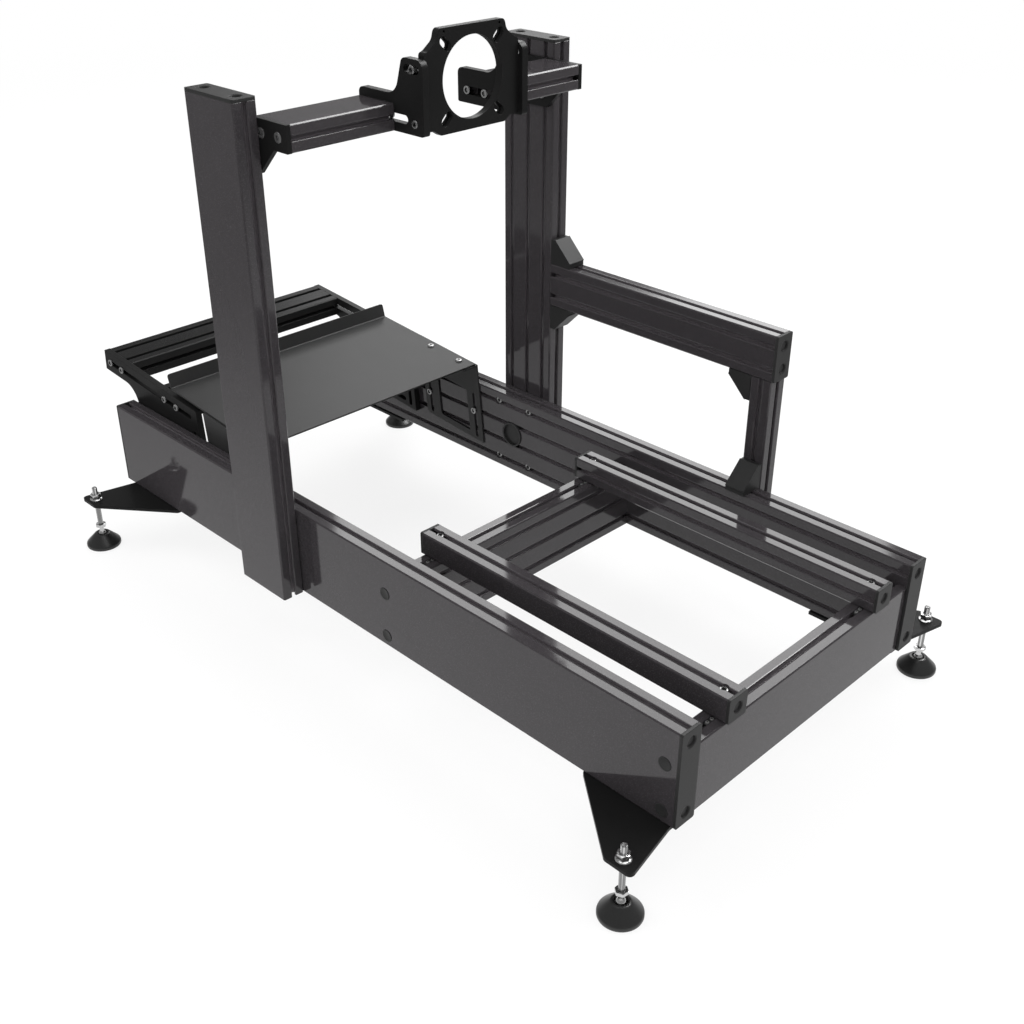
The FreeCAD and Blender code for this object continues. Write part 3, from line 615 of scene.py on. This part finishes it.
# Levelling feet: smooth studs, flanged nuts above the plates, plain nuts and ball necks below
foot = {"spots": ((-87, 10), (677, 10), (-87, 1347.3), (677, 1347.3)),
        "stud": 4.9, "studLow": -60.0, "studTop": 25.5, "nutAcross": 17.0, "nutHeight": 9.0, "nutBase": 3.0,
        "bore": 10.4, "flange": 23.0, "lowNutHeight": 6.0, "lowNutBase": -60.0, "lowNutTurn": 0.4}
feet = [Matrix.Translation(at(x, y, 0)) for x, y in foot["spots"]]
stud, low, top = foot["stud"], foot["studLow"], foot["studTop"]
bm = bmesh.new()
turn(bm, [(0, low), (stud, low), (stud, top - 1.4), (stud - 0.3, top - 0.6), (stud - 1.0, top), (0, top)])
addPiece("levelling_studs", stampEach(bm, feet), paintedStreaksZinc, ["foot_studs"])

rim = foot["flange"] / 2
bm = hexNut(foot["nutAcross"], foot["nutHeight"], foot["bore"], foot["nutBase"])
turn(bm, [(5.2, 0), (rim - 0.3, 0), (rim, 0.3), (rim, 1.4), (rim - 0.6, 1.9),
          (8.6, 3.2), (5.2, 3.2), (5.2, 0)])
addPiece("foot_flange_nuts", stampEach(bm, feet), brightZinc)
bm = hexNut(foot["nutAcross"], foot["lowNutHeight"], foot["bore"], foot["lowNutBase"])
turned = Matrix.Rotation(foot["lowNutTurn"], 4, "Z")
addPiece("foot_lower_nuts", stampEach(bm, [place @ turned for place in feet]), brightZinc)

# A ball and its neck, turned from (radius, height)
neck = ((0, -77), (6.8, -77), (7.5, -75.4), (7.2, -73.4), (5.8, -71.6), (4.4, -70.2), (3.9, -68), (3.9, -62),
        (4.6, -60), (0, -60))
bm = bmesh.new()
turn(bm, neck, 28)
addPiece("foot_ball_necks", stampEach(bm, feet), brightZinc)

# Pads: rounded rim, straight cone, rounded hub with the ball's socket
pad = {"rim": 32.4, "rimHeight": 6.0, "hub": 14.0, "height": 26.0, "socket": 9.6, "socketFloor": 20.0,
       "ground": -100.0}
low = pad["ground"]
edge, top, floor = low + pad["rimHeight"], low + pad["height"], low + pad["socketFloor"]
rim, hub, socket = pad["rim"], pad["hub"], pad["socket"]
bm = bmesh.new()
turn(bm, [(0, low), (rim - 1.6, low), (rim - 0.5, low + 0.5), (rim, low + 1.8), (rim, edge - 0.6),
          (rim - 0.5, edge + 1.0), (rim - 1.6, edge + 2.4), (hub + 1.2, top - 1.6), (hub, top - 0.6),
          (hub - 1.4, top), (socket + 0.8, top), (socket, top - 0.8), (socket, floor), (0, floor)], 56)
addPiece("levelling_pads", stampEach(bm, feet), padBlack, ["foot_pads"])
print("feet made")

# Slot nuts whose ends show in the cross beams' top slots beside the rails, each with two set
# screws to its sides: the first pair in the rear cross beam, the second in the middle one
slotNut = {"wide": 7.6, "long": 22.0, "deep": 3.4, "bevel": 0.6, "x": (94, 460), "top": 120, "below": 2.6}
setScrew = {"head": 5.4, "height": 1.6, "socket": 2.4, "depth": 1.2, "bevel": 0.3,
            "aside": ((-6.5, 3.5), (-3.0, 7.0))}
bm = bmesh.new()
bmesh.ops.create_cube(bm, size=0.001)
bmesh.ops.scale(bm, vec=(slotNut["long"], slotNut["wide"], slotNut["deep"]), verts=bm.verts)
bmesh.ops.bevel(bm, geom=bm.edges[:], offset=slotNut["bevel"] / 1000, segments=2, profile=0.5,
                affect="EDGES", material=-1)
level = slotNut["top"] - slotNut["below"]
places = [Matrix.Translation(at(x, y, level - slotNut["deep"] / 2))
          for x in slotNut["x"] for y in lines["crossY"]]
addPiece("rail_slot_nuts", stampEach(bm, places), blackOxide)
places = [facing(at(x + aside, y, level), (0, 0, 1), 40 * i)
          for x in slotNut["x"] for y, pair in zip(lines["crossY"], setScrew["aside"])
          for i, aside in enumerate(pair)]
addPiece("rail_slot_set_screws", stampEach(socketHead(setScrew, 16), places), steelScrew)
print("slot nuts made")

# Studio: a pale floor that whitens with distance and shows a painted pool of light in reflections near the
# object, a white backdrop and soft panels
studio = {"size": 40, "white": 0.88, "roughness": 0.9, "diffuse": 0.9, "glossy": 0.25,
          "floorShare": 0.82, "farEdges": (1.5, 6.0),
          "paintedPool": 0.84, "paintedPoolSpot": (0.15, -0.5, 0.0), "paintedPoolEdges": (0.6, 2.8)}
panels = {
    "panel_far": {"place": (3.26, 2.34, 3.2), "target": (0.46, -0.46, 0.3), "size": (3.1, 2.4),
                  "power": 85.0},
    "panel_top": {"place": (0.2, -0.4, 3.4), "target": (0, 0, 0), "size": (3.0, 3.0), "power": 40.0},
    "panel_right": {"place": (2.1, -2.0, 2.7), "target": (0, 0, 0.5), "size": (2.2, 1.4), "power": 34.0,
                    "glossy": False},
    "panel_edges": {"place": (2.0, -0.65, 3.05), "target": (0, 0, 0.9), "size": (2.0, 1.6), "power": 130.0,
                    "diffuse": False},
    "panel_left": {"place": (-2.0, 2.1, 2.7), "target": (0, 0, 0.5), "size": (2.2, 1.4), "power": 40.0,
                   "glossy": False},
}


def addStage():
    bm = bmesh.new()
    bmesh.ops.create_grid(bm, x_segments=1, y_segments=1, size=studio["size"])
    mesh = bpy.data.meshes.new("studio_floor")
    bm.to_mesh(mesh)
    bm.free()
    floor = bpy.data.objects.new("studio_floor", mesh)
    bpy.context.collection.objects.link(floor)
    finish = Finish("floor_white", {"Roughness": studio["roughness"], "Base Color": grey(studio["white"])})
    path = finish.node("ShaderNodeLightPath", {}, {})
    direct = Field(finish, path.outputs["Is Camera Ray"]) + Field(finish, path.outputs["Is Transmission Ray"])
    shine = Field(finish, path.outputs["Is Glossy Ray"])
    away = finish.node("ShaderNodeVectorMath", {"operation": "LENGTH"}, {0: finish.place})
    near = finish.node("ShaderNodeVectorMath", {"operation": "DISTANCE"},
                       {0: finish.place, 1: studio["paintedPoolSpot"]})
    # Painted pool of light: glossy rays see the floor brighter near the object and dimmer farther off
    paintedPool = finish.ranged(near.outputs["Value"], studio["paintedPoolEdges"], (studio["paintedPool"], studio["glossy"]))
    level = direct + shine * paintedPool
    glow = finish.node("ShaderNodeEmission", {}, {"Color": grey(1), "Strength": level})
    far = finish.ranged(away.outputs["Value"], studio["farEdges"], (studio["floorShare"], 1.0), "LINEAR")
    mixed = finish.node("ShaderNodeMixShader", {}, {0: direct * far + shine,
                                                    1: finish.shader.outputs[0], 2: glow.outputs[0]})
    output = finish.tree.nodes["Material Output"]
    finish.tree.links.new(mixed.outputs[0], output.inputs["Surface"])
    mesh.materials.append(finish.material)


def setWorld():
    # White to the camera, bright for soft light and dim in reflections
    world = bpy.data.worlds.new("studio")
    bpy.context.scene.world = world
    world.use_nodes = True
    tree = world.node_tree
    back = tree.nodes["Background"]
    back.inputs["Color"].default_value = grey(1)
    path = tree.nodes.new("ShaderNodeLightPath")
    shine = tree.nodes.new("ShaderNodeMapRange")
    shine.inputs["To Min"].default_value = studio["diffuse"]
    shine.inputs["To Max"].default_value = studio["glossy"]
    tree.links.new(path.outputs["Is Glossy Ray"], shine.inputs["Value"])
    direct = tree.nodes.new("ShaderNodeMath")
    direct.operation = "MAXIMUM"
    tree.links.new(path.outputs["Is Camera Ray"], direct.inputs[0])
    tree.links.new(shine.outputs[0], direct.inputs[1])
    tree.links.new(direct.outputs[0], back.inputs["Strength"])


def addPanel(name, place, target, size, power, diffuse=True, glossy=True):
    lamp = bpy.data.lights.new(name, "AREA")
    lamp.shape = "RECTANGLE"
    lamp.size, lamp.size_y = size
    lamp.energy = power
    panel = bpy.data.objects.new(name, lamp)
    bpy.context.collection.objects.link(panel)
    panel.location = place
    away = Vector(place) - Vector(target)
    panel.rotation_euler = away.to_track_quat("Z", "Y").to_euler()
    panel.visible_diffuse = diffuse
    panel.visible_glossy = glossy


addStage()
setWorld()
for name, panel in panels.items():
    addPanel(name, **panel)
print("studio set")
